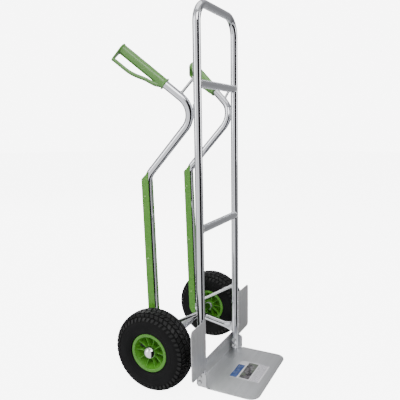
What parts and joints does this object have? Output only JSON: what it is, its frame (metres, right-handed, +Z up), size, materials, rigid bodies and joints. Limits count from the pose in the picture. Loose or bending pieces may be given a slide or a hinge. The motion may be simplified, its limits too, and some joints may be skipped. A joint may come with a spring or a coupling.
{
  "type": "hand truck",
  "caption": "Upright aluminium tube hand truck with two splayed guarded grips, folded toe plate, plastic stair skids and air-filled wheels.",
  "frame": {"origin": "on the underside of the toe plate, in the middle plane of the truck, below the centre line of the two uprights", "axes": "+X across the truck, along the axle; +Y from the load side to the handle side; +Z up along the uprights"},
  "size_m": [0.527, 0.452, 1.1959],
  "materials": {
    "tube_aluminium": "polished, with fine draw lines",
    "rod_aluminium": "satin",
    "sheet_aluminium": "satin mill finish",
    "zinc_steel": "zinc plated",
    "bearing_steel": "bright",
    "green_plastic": "moulded, slight sheen",
    "tyre_rubber": "moulded tread",
    "butyl_rubber": "matte",
    "valve_plastic": "gloss",
    "cap_chrome": "bright domed cap",
    "label_film": "printed film without text"
  },
  "bodies": {
    "frame": {"front_frame": "tube_aluminium", "upper_crossbar": "tube_aluminium", "middle_crossbar": "tube_aluminium", "left_side_tube": "tube_aluminium", "right_side_tube": "tube_aluminium", "left_handle_rod": "rod_aluminium", "right_handle_rod": "rod_aluminium", "left_leg_brace": "rod_aluminium", "right_leg_brace": "rod_aluminium", "left_skid": "green_plastic", "right_skid": "green_plastic", "left_skid_rivets": "green_plastic", "right_skid_rivets": "green_plastic", "left_grip": "green_plastic", "right_grip": "green_plastic", "left_wheel_guard": "sheet_aluminium", "right_wheel_guard": "sheet_aluminium", "toe_plate": "sheet_aluminium", "toe_bolts": "zinc_steel", "toe_washers": "zinc_steel", "toe_nuts": "zinc_steel", "label": "label_film", "axle_tube": "tube_aluminium", "axle_rod": "zinc_steel", "axle_washers": "zinc_steel", "split_pins": "zinc_steel"},
    "left_wheel": {"left_tyre": "tyre_rubber", "left_inner_tube": "butyl_rubber", "left_rim": "green_plastic", "left_bearings": "bearing_steel", "left_hub_spacer": "zinc_steel", "left_valve_stem": "butyl_rubber", "left_valve_cap": "valve_plastic", "left_hub_cap": "cap_chrome"},
    "right_wheel": {"right_tyre": "tyre_rubber", "right_inner_tube": "butyl_rubber", "right_rim": "green_plastic", "right_bearings": "bearing_steel", "right_hub_spacer": "zinc_steel", "right_valve_stem": "butyl_rubber", "right_valve_cap": "valve_plastic", "right_hub_cap": "cap_chrome"}
  },
  "joints": [
    {"name": "left_wheel_spin", "type": "hinge", "parent": "frame", "child": "left_wheel", "pos_m": [-0.2185, 0.131, 0.13], "axis": [1, 0, 0], "continuous": true},
    {"name": "right_wheel_spin", "type": "hinge", "parent": "frame", "child": "right_wheel", "pos_m": [0.2185, 0.131, 0.13], "axis": [1, 0, 0], "continuous": true}
  ]
}
